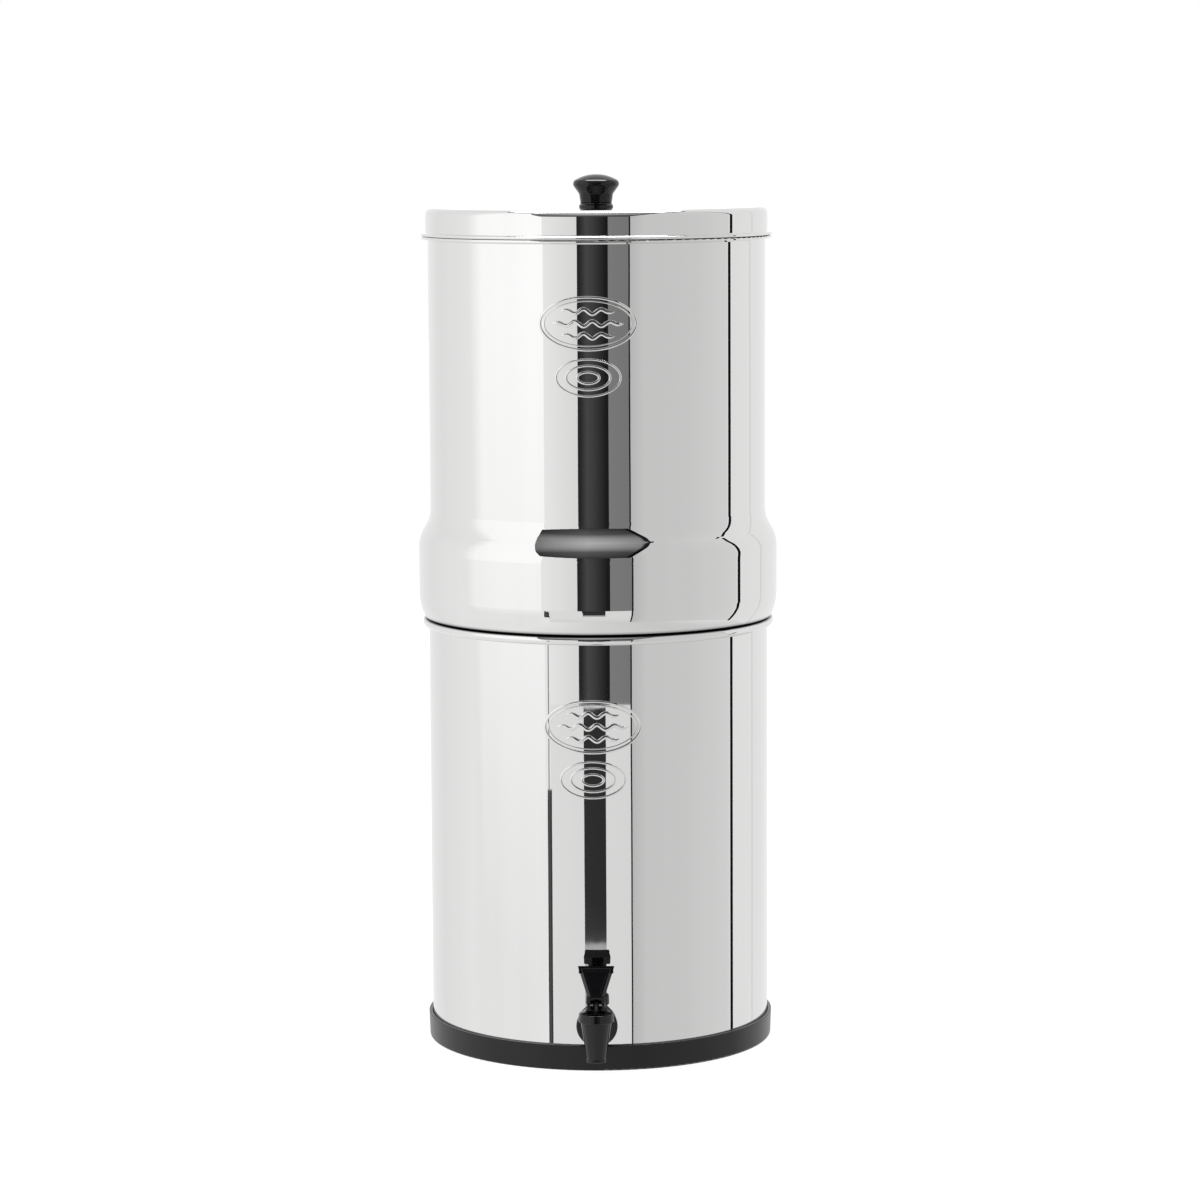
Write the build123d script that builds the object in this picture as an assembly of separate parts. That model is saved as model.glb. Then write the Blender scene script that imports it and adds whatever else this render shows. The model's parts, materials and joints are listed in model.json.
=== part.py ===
from build123d import *
import os
from math import atan2, hypot, radians, tan

# A gravity water filter for a counter: two polished steel chambers nested one on the other,
# a lift-off lid with a knob, a rubber base, two carbon filter elements and a self-closing tap.
# Millimetres. The axis of the chambers is Z, Z = 0 is the surface it stands on and the tap
# points along -Y.

# ---------------------------------------------------------------- driving dimensions
sheet = 0.8                # steel sheet of both chambers
seat_gap = 0.2             # rest gap under a part that lifts off
slip = 0.05                # radial running clearance of pins, stems and bores
touch = 0.05               # gap at a curved face that a soft washer is pressed against
curve_share = 0.93         # how much of its runs a large curve takes up

lower_r = 118.95           # lower chamber, outside: every other chamber radius follows it
lower_top = 299.45
lower_corner = 6.0         # bottom corner, inside
lower_dish = 1.4           # the middle of the floor is raised
lower_dish_margin = 22.0
lower_dish_slope = 6.0
lower_bead_reach = 4.2     # rolled rim, out from the wall
lower_bead_height = 6.3
roll_share = 0.98          # how much of the rolled rim its roundings take up
bead_tail_gap = 0.25       # between the end of a rolled rim and the wall

base_lip_gap = 0.3         # between the rubber base's lip and the chamber wall
base_wall = 2.5
base_lip_top = 17.6
base_floor = 4.0
base_draft = 0.6           # how much narrower the base is at its foot
base_rounding = 1.6
base_lip_rounding = 0.5
tread_depth = 0.8          # grip grooves in the underside
tread_width = 2.0
tread_pitch = 9.0
tread_count = 5
tread_margin = 15.0        # from the chamber's wall to the outermost groove

neck_gap = 0.85            # between the upper chamber's neck and the lower chamber's wall
neck_length = 28.5
neck_corner = 7.0
neck_turn = 1.6
seat_heel_inset = 1.25     # where the shoulder turns up from its seat, in from the rim below
seat_heel_round = 0.9
bulge_reach = 6.75         # shoulder, out from the lower chamber's wall
bulge_low = 9.0            # corner of the shoulder's lower curve, above the seat
bulge_high = 56.1          # corner of its upper curve, above the seat
flare_drop = 12.8          # height over which the shoulder comes in to the wall
upper_inset = 1.45         # upper wall, in from the lower chamber's wall
upper_height = 265.8       # from the seat to the rim
upper_bead_reach = 4.7
upper_bead_side = 1.7
upper_bead_drop = 1.2
upper_bead_round = 0.95

hole_gap = 0.7             # round the stems in the four holes of the upper chamber's floor
hole_circle_r = 62.0

lid_sheet = 0.7
lid_reach = 1.6            # lid's skirt, out from the upper chamber's wall
lid_height = 19.6          # from the rim of the chamber to the flat top
lid_corner = 4.5
lid_lip_overhang = 0.2     # lid's lip, out from the rim it rests on
lid_lip_height = 2.1
lid_lip_round = 0.95
lid_turn = 1.5
lid_neck_gap = 0.5         # between the lid's neck and the chamber's mouth
lid_neck_length = 10.0

collar_r = 11.1            # ring between lid and knob
collar_foot_step = 0.9
collar_height = 2.8
knob_neck_inset = 0.1      # knob's neck, in from the ring
knob_neck_height = 6.2
knob_neck_spread = 0.8     # how much wider the neck is at its top
knob_neck_round = 4.0
knob_flare = 6.7           # from the neck out to the corner that the rim rounds off
knob_edge_height = 14.4    # height of that corner
knob_rim_round = 3.3
knob_height = 19.8
knob_dome_flat = 7.0       # radius out to where the dome's two tangents meet
knob_groove = 0.4
screw_r = 2.4
screw_length = 17.0
screw_head_r = 4.6
screw_head_height = 3.0
screw_slot = 1.2
screw_washer_r = 8.5
screw_washer_height = 1.2

element_r = 33.0           # carbon filter element
element_length = 215.0
element_core_r = 9.0
element_core_end = 18.0    # solid top above the core
element_rounding = 6.0
cap_wall = 2.4             # moulded cap that the element is bonded in
cap_height = 18.0
cap_floor = 5.0
cap_fit = 0.2
stem_r = 5.5
stem_thread_depth = 0.6
stem_bore_r = 2.5
stem_length = 42.0
thread_pitch = 1.75
plug_head_r = 11.0
plug_head_height = 5.0
plug_stem_length = 22.0
floor_washer_r = 12.0
floor_washer_height = 2.5
wing_hub_r = 9.5
wing_hub_height = 7.0
wing_span = 12.0
wing_width = 3.2
wing_height = 12.0

tap_height = 31.9          # axis of the tap's shank above the table
tap_reach = 28.0           # from the wall to the axis of the spout
flange_r = 14.1
flange_height = 3.0
flange_rounding = 1.0
outer_washer_inset = 0.4   # soft washer, in from the flange
outer_washer_height = 2.25
shank_r = 7.9
shank_thread_depth = 0.7
shank_pitch = 2.0
shank_inside = 17.0        # length of the shank inside the wall
shank_bore_r = 4.5
wall_hole_gap = 0.4        # round the shank in the chamber's wall
inner_washer_r = 13.0
inner_washer_height = 2.6
nut_flats = 24.0
nut_height = 8.0
arm_r = 7.6

# Heights in the valve are measured from the axis of the shank.
spout_drop = 18.6          # down to the end of the spout
spout_lip_height = 1.3
spout_lip_step = 0.5
outlet_r = 4.75
spout_wall = 1.95
seat_drop = 6.6            # down to the valve seat
valve_r = 6.6
valve_mouth_r = 8.6
valve_mouth_rise = 7.4
barrel_wall = 1.8          # round the valve's mouth
barrel_wide_rise = 7.9     # up to where the body is widest
barrel_rise = 13.0         # up to the top of the body
barrel_curve = 6.0

bonnet_wall = 1.75
bonnet_skirt = 4.3         # from the top of the body down to the bonnet's foot
bonnet_crown = 1.7         # from the top of the body up to the shoulder
bonnet_dome = 1.0          # from the shoulder up to the flat
bonnet_draft = 0.6
bonnet_flat_r = 7.5
bonnet_rounding = 0.9

rod_r = 2.6                # valve stem
rod_foot_drop = 3.6        # down to the foot of the stem
pin_r = 1.5
cup_clearance = 0.8        # round the seat cup
cup_gap = 0.25
cup_height = 9.0

fork_gap = 1.3             # each side of the stem
fork_cheek = 2.1
fork_bridge = 0.9          # over the slot
fork_back = 1.1            # wall behind the slot
cam_gap = 0.3              # between the cam at rest and the bonnet
cam_drop = 4.2             # from the pivot to the flat of the cam
cam_toe = 7.2              # from the pivot to the front of the cam
cam_heel = 4.2
cam_round = 2.5
paddle_foot = 4.8          # foot and top of the front face, above the pivot
paddle_top = 24.0
paddle_foot_half = 3.5
paddle_top_half = 9.55
paddle_thickness = 3.0
paddle_flare = 35.0        # degrees, on every side of the front face
paddle_lean = 13.0         # degrees, towards the chamber
paddle_front = 5.1         # in front of the pivot
panel_inset = 1.3
panel_depth = 0.6
paddle_web = 1.2           # from the front face to the ledge and the rib
ledge_depth = 8.6          # behind the pivot
ledge_height = 5.0
ledge_rounding = 1.2
rib_half = 4.3
rib_reach = 4.7

# ---------------------------------------------------------------- places worked out
base_r = lower_r + base_lip_gap + base_wall
lower_inner_r = lower_r - sheet
lower_bead_r = lower_r + lower_bead_reach
lower_bead_round = roll_share * lower_bead_height / 2
lower_bead_turn = roll_share * (lower_bead_reach + sheet - lower_bead_round)
neck_r = lower_inner_r - neck_gap
neck_seat = lower_top + seat_gap
seat_heel_r = lower_bead_r - seat_heel_inset
bulge_r = lower_r + bulge_reach
upper_r = lower_r - upper_inset
upper_inner_r = upper_r - sheet
upper_bead_r = upper_r + upper_bead_reach
upper_floor_top = neck_seat - neck_length + sheet
upper_rim = neck_seat + upper_height
lid_r = upper_r + lid_reach
lid_lip_r = upper_bead_r + lid_lip_overhang
lid_neck_r = upper_inner_r - lid_neck_gap
lid_seat = upper_rim + seat_gap
lid_top = upper_rim + lid_height
knob_neck_r = collar_r - knob_neck_inset
knob_edge_r = knob_neck_r + knob_flare
knob_base = lid_top + collar_height

# The large curves of shoulder and knob take a share of the runs that meet at their corners.
low_out, low_up = bulge_r - seat_heel_r, bulge_low - sheet
bulge_low_round = curve_share * hypot(low_out, low_up) / tan(atan2(low_out, low_up) / 2)
flare_in = bulge_r - upper_r
flare_round = curve_share * hypot(flare_in, flare_drop) / 2 / tan(atan2(flare_in, flare_drop) / 2)
dome_out, dome_drop = knob_edge_r - knob_dome_flat, knob_height - knob_edge_height
knob_dome_round = curve_share * knob_dome_flat / tan(atan2(dome_drop, dome_out) / 2)

hole_r = stem_r + hole_gap
stem_root_r = stem_r - stem_thread_depth
shank_root_r = shank_r - shank_thread_depth
wall_hole_r = shank_r + wall_hole_gap
outer_washer_r = flange_r - outer_washer_inset
washer_plane = lower_r + outer_washer_height
spout_y = lower_r + tap_reach
shank_end = lower_r - shank_inside
nut_plane = lower_inner_r - inner_washer_height
spout_r = outlet_r + spout_wall
barrel_r = valve_mouth_r + barrel_wall
bonnet_r = barrel_r + touch + bonnet_wall
bonnet_shoulder = barrel_rise + bonnet_crown
bonnet_top = bonnet_shoulder + bonnet_dome
pivot_rise = bonnet_top + cam_gap + cam_drop
cup_r = valve_r - cup_clearance
gap_half = rod_r + fork_gap
fork_half = gap_half + fork_cheek

# The tap is built looking along its shank: local Z runs outwards from the chambers' axis and
# local Y is up.
tap_frame = Plane(origin=(0, 0, tap_height), x_dir=(1, 0, 0), z_dir=(0, -1, 0))
spout_axis = Pos(0, -spout_y, tap_height)
pivot = spout_axis * Pos(0, 0, pivot_rise)
base_up = (Align.CENTER, Align.CENTER, Align.MIN)
base_down = (Align.CENTER, Align.CENTER, Align.MAX)
crosswise = Rot(0, 90, 0)  # turns an upright cylinder onto X


# ---------------------------------------------------------------- shapes used by many pieces
def closed_outline(*corners):
    """A flat face from corners given as (radius, height, rounding)."""
    points = [(x, z) for x, z, _ in corners]
    return make_face(FilletPolyline(*points, radius=[r for _, _, r in corners], close=True))


def parallel(corners, distance):
    """The same corners on a path that runs the distance to the right, roundings kept concentric."""
    points = [Vector(x, z) for x, z, _ in corners]
    runs = [(after - before).normalized() for before, after in zip(points, points[1:])]
    sides = [Vector(run.Y, -run.X) for run in runs]
    moved = []
    for index, (point, corner) in enumerate(zip(points, corners)):
        before = max(index - 1, 0)
        after = min(index, len(runs) - 1)
        shift = (sides[before] + sides[after]) * (distance / (1 + sides[before].dot(sides[after])))
        turn = runs[before].cross(runs[after]).Z
        change = distance if turn > 0 else -distance
        rounding = max(corner[2] + change, 0) if before != after else 0
        moved.append(((point + shift).X, (point + shift).Y, rounding))
    return moved


def sheet_outline(thickness, *corners):
    """The section of a bent sheet: one face as corners, the sheet to the right of them."""
    return closed_outline(*corners, *reversed(parallel(corners, thickness)))


def turned(outline):
    """The outline spun about Z."""
    return revolve(Plane.XZ * outline, axis=Axis.Z)


def tube(outer, inner, height):
    """An upright ring that stands on Z = 0."""
    return Cylinder(outer, height, align=base_up) - Cylinder(inner, height, align=base_up)


def thread(major, root, length, pitch):
    """A threaded rod on Z = 0, its thread drawn as separate ridges."""
    turns = int(length / pitch)
    corners = [(0, 0, 0), (root, 0, 0)]
    for turn in range(turns):
        foot = turn * pitch
        corners.append((root, foot + 0.15 * pitch, 0))
        corners.append((major, foot + 0.45 * pitch, 0))
        corners.append((major, foot + 0.55 * pitch, 0))
        corners.append((root, foot + 0.85 * pitch, 0))
    corners += [(root, length, 0), (0, length, 0)]
    return turned(closed_outline(*corners))


# ---------------------------------------------------------------- base and chambers
def base_ring():
    """Rubber tray under the lower chamber, with a lip round its wall and a grooved foot."""
    lip_r = lower_r + base_lip_gap
    tray = turned(closed_outline(
        (0, 0, 0),
        (base_r - base_draft, 0, base_rounding),
        (base_r, base_lip_top, base_lip_rounding),
        (lip_r, base_lip_top, base_lip_rounding),
        (lip_r, base_floor, lower_corner / 2),
        (0, base_floor, 0),
    ))
    for row in range(tread_count):
        groove_r = lower_r - tread_margin - row * tread_pitch
        tray -= tube(groove_r + tread_width, groove_r, tread_depth)
    return tray


def lower_chamber():
    """Drawn steel pot with a raised floor, a rolled rim and the hole for the tap."""
    floor = base_floor + sheet
    tail_r = lower_r + bead_tail_gap
    dish_r = lower_inner_r - lower_dish_margin
    pot = turned(sheet_outline(
        sheet,
        (0, floor + lower_dish, 0),
        (dish_r - lower_dish_slope, floor + lower_dish, lower_corner),
        (dish_r, floor, lower_corner),
        (lower_inner_r, floor, lower_corner),
        (lower_inner_r, lower_top, lower_bead_turn),
        (lower_bead_r, lower_top, lower_bead_round),
        (lower_bead_r, lower_top - lower_bead_height, lower_bead_round),
        (tail_r, lower_top - lower_bead_height, 0),
    ))
    hole = tap_frame * Pos(0, 0, lower_inner_r / 2) * Cylinder(wall_hole_r, lower_r, align=base_up)
    return pot - hole


def upper_chamber():
    """Drawn steel pot that nests in the lower one: neck, bulging shoulder, wall and rolled rim."""
    tail_r = upper_r + bead_tail_gap
    pot = turned(sheet_outline(
        sheet,
        (0, upper_floor_top, 0),
        (neck_r - sheet, upper_floor_top, neck_corner),
        (neck_r - sheet, neck_seat + sheet, neck_turn),
        (seat_heel_r - sheet, neck_seat + sheet, seat_heel_round),
        (bulge_r - sheet, neck_seat + bulge_low, bulge_low_round),
        (bulge_r - sheet, neck_seat + bulge_high, flare_round),
        (upper_inner_r, neck_seat + bulge_high + flare_drop, flare_round),
        (upper_inner_r, upper_rim, upper_bead_round),
        (upper_bead_r, upper_rim, upper_bead_round),
        (upper_bead_r, upper_rim - upper_bead_side, 0),
        (tail_r, upper_rim - upper_bead_side - upper_bead_drop, 0),
    ))
    for place in floor_places.values():
        pot -= place * Pos(0, 0, -sheet) * Cylinder(hole_r, 4 * sheet, align=base_up)
    return pot


# The four holes, at the height of the chamber floor's upper face: filters left and right,
# plugs front and back.
floor_places = {
    "filter_a": Pos(-hole_circle_r, 0, upper_floor_top),
    "filter_b": Pos(hole_circle_r, 0, upper_floor_top),
    "plug_a": Pos(0, -hole_circle_r, upper_floor_top),
    "plug_b": Pos(0, hole_circle_r, upper_floor_top),
}


# ---------------------------------------------------------------- lid
def lid_shell():
    """Spun steel lid: flat top, skirt, folded lip on the rim and a neck inside the mouth."""
    inner_top = lid_top - lid_sheet
    inner_r = lid_r - lid_sheet
    lid = turned(sheet_outline(
        lid_sheet,
        (lid_neck_r - lid_sheet, lid_seat - lid_neck_length, 0),
        (lid_neck_r - lid_sheet, lid_seat + lid_sheet, lid_turn),
        (lid_lip_r - lid_sheet, lid_seat + lid_sheet, lid_lip_round - lid_sheet),
        (lid_lip_r - lid_sheet, lid_seat + lid_lip_height - lid_sheet, lid_lip_round - lid_sheet),
        (inner_r, lid_seat + lid_lip_height - lid_sheet, lid_turn),
        (inner_r, inner_top, lid_corner - lid_sheet),
        (0, inner_top, 0),
    ))
    return lid - Pos(0, 0, inner_top) * Cylinder(screw_r + slip, 2 * lid_sheet, align=base_up)


def knob_collar():
    """Moulded ring that the knob stands on."""
    ring = turned(closed_outline(
        (0, 0, 0),
        (collar_r + collar_foot_step, 0, 0),
        (collar_r + collar_foot_step, 0.4 * collar_height, 0),
        (collar_r, 0.7 * collar_height, 0),
        (collar_r, collar_height, 0),
        (0, collar_height, 0),
    ))
    return Pos(0, 0, lid_top) * (ring - Cylinder(screw_r + slip, collar_height, align=base_up))


def lid_knob():
    """Glossy knob: a groove at its foot, a neck that flares out to a round rim and a dome."""
    knob = turned(closed_outline(
        (0, 0, 0),
        (knob_neck_r - knob_groove, 0, 0),
        (knob_neck_r, knob_groove, 0),
        (knob_neck_r + knob_neck_spread, knob_neck_height, knob_neck_round),
        (knob_edge_r, knob_edge_height, knob_rim_round),
        (knob_dome_flat, knob_height, knob_dome_round),
        (0, knob_height, 0),
    ))
    socket = screw_length - collar_height - lid_sheet
    return Pos(0, 0, knob_base) * (knob - Cylinder(screw_r + slip, socket, align=base_up))


def knob_washer():
    """Steel washer under the lid."""
    ring = tube(screw_washer_r, screw_r + slip, screw_washer_height)
    return Pos(0, 0, lid_top - lid_sheet - screw_washer_height) * ring


def knob_screw():
    """Pan-head screw that goes up through washer, lid and collar into the knob."""
    head = Cylinder(screw_head_r, screw_head_height, align=base_up)
    head = fillet(head.edges().group_by(Axis.Z)[0], screw_head_height / 3)
    slot = Box(2 * screw_head_r, screw_slot, screw_head_height / 2, align=base_up)
    shank = Cylinder(screw_r, screw_length + screw_washer_height - seat_gap, align=base_up)
    foot = lid_top - lid_sheet - screw_washer_height - screw_head_height
    return Pos(0, 0, foot) * (head - slot + Pos(0, 0, screw_head_height) * shank)


# ---------------------------------------------------------------- filters and plugs
def filter_element():
    """Porous carbon cylinder with a blind core, standing on its cap's floor."""
    block = Cylinder(element_r, element_length, align=base_up)
    block = fillet(block.edges().group_by(Axis.Z)[-1], element_rounding)
    core = Cylinder(element_core_r, element_length - element_core_end, align=base_up)
    return Pos(0, 0, floor_washer_height + cap_floor) * (block - core)


def filter_cap():
    """Moulded cap with its hollow threaded stem, which goes down through the chamber floor."""
    bore_r = element_r + cap_fit
    cap = Cylinder(bore_r + cap_wall, cap_height, align=base_up)
    cap = fillet(cap.edges().group_by(Axis.Z)[0], cap_wall)
    cap -= Pos(0, 0, cap_floor) * Cylinder(bore_r, cap_height, align=base_up)
    stem = thread(stem_r, stem_root_r, stem_length, thread_pitch)
    cap += Pos(0, 0, -stem_length) * stem
    cap -= Pos(0, 0, -stem_length) * Cylinder(stem_bore_r, stem_length + cap_floor, align=base_up)
    return Pos(0, 0, floor_washer_height) * cap


def blocking_plug():
    """Solid plug for a hole that carries no filter."""
    head = Cylinder(plug_head_r, plug_head_height, align=base_up)
    head = fillet(head.edges().group_by(Axis.Z)[-1], plug_head_height / 3)
    stem = thread(stem_r, stem_root_r, plug_stem_length, thread_pitch)
    return Pos(0, 0, floor_washer_height) * (head + Pos(0, 0, -plug_stem_length) * stem)


def floor_washer():
    """Silicone washer on the chamber floor."""
    return tube(floor_washer_r, stem_r + slip, floor_washer_height)


def wing_nut():
    """Moulded wing nut under the chamber floor."""
    wing = Box(wing_span, wing_width, wing_height, align=base_up)
    wing = fillet(wing.edges().filter_by(Axis.Y).group_by(Axis.Z)[0], wing_width)
    reach = wing_hub_r + wing_span / 2 - wing_width
    nut = Cylinder(wing_hub_r, wing_hub_height, align=base_down)
    for side in (-1, 1):
        nut += Pos(side * reach, 0, -wing_height - sheet) * wing
    nut -= Cylinder(stem_r + slip, 2 * wing_hub_height)
    return Pos(0, 0, -sheet) * nut


# ---------------------------------------------------------------- tap
def spigot_body():
    """One moulding: threaded shank, flange, arm and the tapered valve body with its spout."""
    shank = thread(shank_r, shank_root_r, washer_plane - shank_end, shank_pitch)
    flange = Cylinder(flange_r, flange_height, align=base_up)
    flange = fillet(flange.edges().group_by(Axis.Z)[-1], flange_rounding)
    arm = Cylinder(arm_r, spout_y - washer_plane, align=base_up)
    along = tap_frame * Pos(0, 0, shank_end) * shank
    along += tap_frame * Pos(0, 0, washer_plane) * (flange + arm)
    lip_r = spout_r + spout_lip_step
    barrel = spout_axis * turned(closed_outline(
        (0, -spout_drop, 0),
        (lip_r, -spout_drop, spout_lip_step),
        (lip_r, spout_lip_height - spout_drop, spout_lip_step),
        (spout_r, 1.5 * spout_lip_height - spout_drop, 0),
        (barrel_r, barrel_wide_rise, barrel_curve),
        (barrel_r, barrel_rise, 0),
        (0, barrel_rise, 0),
    ))
    valve = spout_axis * turned(closed_outline(
        (0, -2 * spout_drop, 0),
        (outlet_r, -2 * spout_drop, 0),
        (outlet_r, -seat_drop, 0),
        (valve_r, -seat_drop, 0),
        (valve_r, valve_mouth_rise, 0),
        (valve_mouth_r, valve_mouth_rise + valve_mouth_r - valve_r, 0),
        (valve_mouth_r, 2 * barrel_rise, 0),
        (0, 2 * barrel_rise, 0),
    ))
    inlet = Cylinder(shank_bore_r, spout_y - shank_end, align=base_up)
    return along + barrel - valve - tap_frame * Pos(0, 0, shank_end) * inlet


def spigot_outer_washer():
    """Soft washer between flange and wall, its back pressed to the wall's curve."""
    ring = tube(outer_washer_r, shank_r + slip, washer_plane - lower_inner_r)
    wall = Cylinder(lower_r + touch, 4 * tap_height)
    return tap_frame * Pos(0, 0, lower_inner_r) * ring - wall


def spigot_inner_washer():
    """Soft washer between nut and wall, its face pressed to the wall's curve."""
    ring = tube(inner_washer_r, shank_r + slip, lower_r - nut_plane)
    hollow = Cylinder(lower_inner_r - touch, 4 * tap_height)
    return (tap_frame * Pos(0, 0, nut_plane) * ring) & hollow


def spigot_nut():
    """Hexagonal nut on the shank, inside the chamber."""
    blank = extrude(RegularPolygon(nut_flats / 2, 6, major_radius=False), nut_height)
    blank -= Cylinder(shank_r + slip, nut_height, align=base_up)
    return tap_frame * Pos(0, 0, nut_plane - nut_height) * blank


def spigot_bonnet():
    """Screw cap of the valve body: skirt, low cone and the hole that guides the stem."""
    skirt_r = barrel_r + touch
    ceiling = barrel_rise + touch
    foot = barrel_rise - bonnet_skirt
    return spout_axis * turned(closed_outline(
        (rod_r + slip, bonnet_top, 0),
        (rod_r + slip, ceiling, 0),
        (skirt_r, ceiling, 0),
        (skirt_r, foot, 0),
        (bonnet_r, foot, bonnet_rounding),
        (bonnet_r - bonnet_draft, bonnet_shoulder, bonnet_rounding),
        (bonnet_flat_r, bonnet_top, bonnet_rounding),
    ))


def spigot_stem():
    """Valve stem: a rod through the bonnet with a ball-shaped head for the pivot pin."""
    rod = Cylinder(rod_r, pivot_rise + rod_foot_drop, align=base_up)
    hole = crosswise * Cylinder(pin_r + slip, 4 * rod_r)
    return spout_axis * Pos(0, 0, -rod_foot_drop) * rod + pivot * Sphere(rod_r) - pivot * hole


def spigot_seat_cup():
    """Silicone cup on the stem's foot: it closes the outlet and springs the tap shut."""
    foot = cup_gap - seat_drop
    cup = turned(closed_outline(
        (0, foot, 0),
        (cup_r, foot, 0.6),
        (cup_r, foot + 0.45 * cup_height, 1.0),
        (0.72 * cup_r, foot + cup_height, 0.6),
        (0, foot + cup_height, 0),
    ))
    socket = Cylinder(rod_r + touch, cup_height, align=base_up)
    return spout_axis * (cup - Pos(0, 0, -rod_foot_drop - touch) * socket)


def spigot_handle():
    """Lever: a fork with a cam foot, a flared paddle with a sunk panel, a ledge and a rib."""
    flare = paddle_thickness * tan(radians(paddle_flare))
    web = paddle_web - paddle_front
    lean = Rot(-paddle_lean, 0, 0)
    # Local Y of the front face's plane points down, so the heights are negative there.
    front = Plane(origin=(0, -paddle_front, 0), x_dir=(1, 0, 0), z_dir=(0, 1, 0))
    face = Polygon(
        (-paddle_foot_half, -paddle_foot),
        (-paddle_top_half, -paddle_top),
        (paddle_top_half, -paddle_top),
        (paddle_foot_half, -paddle_foot),
        align=None,
    )
    sunk = offset(face, amount=-panel_inset)
    paddle = extrude(front * face, amount=paddle_thickness, taper=-paddle_flare)
    paddle -= extrude(front * sunk, amount=panel_depth, taper=paddle_flare)
    ledge = Box(
        2 * (paddle_top_half + flare), ledge_depth - web, ledge_height,
        align=(Align.CENTER, Align.MAX, Align.MAX),
    )
    ledge = fillet(ledge.edges().filter_by(Axis.Z).group_by(Axis.Y)[-1], ledge_rounding)
    rib = closed_outline(
        (web, paddle_foot / 2, 0),
        (cam_heel, paddle_foot / 2, 0),
        (rib_reach, paddle_foot + ledge_height, ledge_height),
        (ledge_depth - ledge_height / 2, paddle_top, 0),
        (web, paddle_top, 0),
    )
    top = paddle + Pos(0, ledge_depth, paddle_top + flare) * ledge
    top += extrude(Plane.YZ * rib, amount=rib_half, both=True)
    # The fork's front edge meets the foot of the leaning face.
    edge = Vector(0, -paddle_front, paddle_foot).rotate(Axis.X, -paddle_lean)
    cam = closed_outline(
        (-cam_toe, -cam_drop, cam_round),
        (cam_heel, -cam_drop, cam_round),
        (cam_heel, edge.Z, cam_round / 2),
        (edge.Y, edge.Z, 0),
        (-cam_toe, cam_drop / 2, cam_round / 2),
    )
    fork = extrude(Plane.YZ * cam, amount=fork_half, both=True)
    slot = Pos(0, cam_heel - fork_back, edge.Z - fork_bridge) * Box(
        2 * gap_half, 4 * cam_toe, 4 * cam_toe, align=(Align.CENTER, Align.MAX, Align.MAX),
    )
    hole = crosswise * Cylinder(pin_r + slip, 4 * fork_half)
    return pivot * (lean * top + fork - slot - hole)


def spigot_pivot_pin():
    """Pin through the fork and the stem's head."""
    return pivot * crosswise * Cylinder(pin_r, 2 * fork_half)


# ---------------------------------------------------------------- all pieces
pieces = {
    "base_ring": base_ring(),
    "lower_chamber": lower_chamber(),
    "upper_chamber": upper_chamber(),
    "lid_shell": lid_shell(),
    "lid_knob": lid_knob(),
    "knob_collar": knob_collar(),
    "knob_washer": knob_washer(),
    "knob_screw": knob_screw(),
    "spigot_body": spigot_body(),
    "spigot_outer_washer": spigot_outer_washer(),
    "spigot_inner_washer": spigot_inner_washer(),
    "spigot_nut": spigot_nut(),
    "spigot_bonnet": spigot_bonnet(),
    "spigot_stem": spigot_stem(),
    "spigot_seat_cup": spigot_seat_cup(),
    "spigot_handle": spigot_handle(),
    "spigot_pivot_pin": spigot_pivot_pin(),
}
for label in ("a", "b"):
    filter_place = floor_places["filter_" + label]
    plug_place = floor_places["plug_" + label]
    pieces["filter_element_" + label] = filter_place * filter_element()
    pieces["filter_cap_" + label] = filter_place * filter_cap()
    pieces["filter_washer_" + label] = filter_place * floor_washer()
    pieces["filter_wing_nut_" + label] = filter_place * Rot(0, 0, 90) * wing_nut()
    pieces["blocking_plug_" + label] = plug_place * blocking_plug()
    pieces["plug_washer_" + label] = plug_place * floor_washer()
    pieces["plug_wing_nut_" + label] = plug_place * wing_nut()

os.makedirs("parts", exist_ok=True)
for name, shape in pieces.items():
    export_step(shape, "parts/" + name + ".step")
    size = shape.bounding_box().size
    print(f"{name:22s} {len(shape.solids())} solid  {size.X:7.2f} {size.Y:7.2f} {size.Z:7.2f}")
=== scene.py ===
# %% [markdown]
# # A gravity water filter with a tap
#
# The real thing is a pair of drawn steel pots, polished like a mirror, that stand in a rubber
# tray. Water is poured in at the top, runs through two carbon filters into the lower pot, and
# leaves by a small black lever tap. The construction comes from CAD as a fixed frame. What is
# made here is what the eye meets: the polish, the rubber, the gloss of the moulded plastic, the
# stamped ornaments of the steel, and the studio that a mirror needs before it can look like one.

# %% Load the frame
import json
import math

import bpy
from mathutils import Matrix, Vector


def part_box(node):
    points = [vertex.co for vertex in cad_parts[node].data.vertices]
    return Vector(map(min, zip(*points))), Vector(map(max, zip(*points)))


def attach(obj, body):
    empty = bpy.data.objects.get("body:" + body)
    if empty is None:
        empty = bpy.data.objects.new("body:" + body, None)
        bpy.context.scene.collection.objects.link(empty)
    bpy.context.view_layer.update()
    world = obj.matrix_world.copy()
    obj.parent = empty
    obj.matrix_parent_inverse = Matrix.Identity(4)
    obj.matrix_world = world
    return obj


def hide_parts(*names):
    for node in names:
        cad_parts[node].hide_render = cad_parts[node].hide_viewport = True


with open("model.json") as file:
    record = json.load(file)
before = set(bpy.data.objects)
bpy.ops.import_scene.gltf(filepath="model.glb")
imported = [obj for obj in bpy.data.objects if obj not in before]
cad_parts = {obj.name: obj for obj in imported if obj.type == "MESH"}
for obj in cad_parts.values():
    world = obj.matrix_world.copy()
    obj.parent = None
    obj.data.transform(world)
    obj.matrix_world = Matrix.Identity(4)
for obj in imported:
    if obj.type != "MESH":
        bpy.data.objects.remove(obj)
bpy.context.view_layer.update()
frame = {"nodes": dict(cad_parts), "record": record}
nodes = frame["nodes"]

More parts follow.
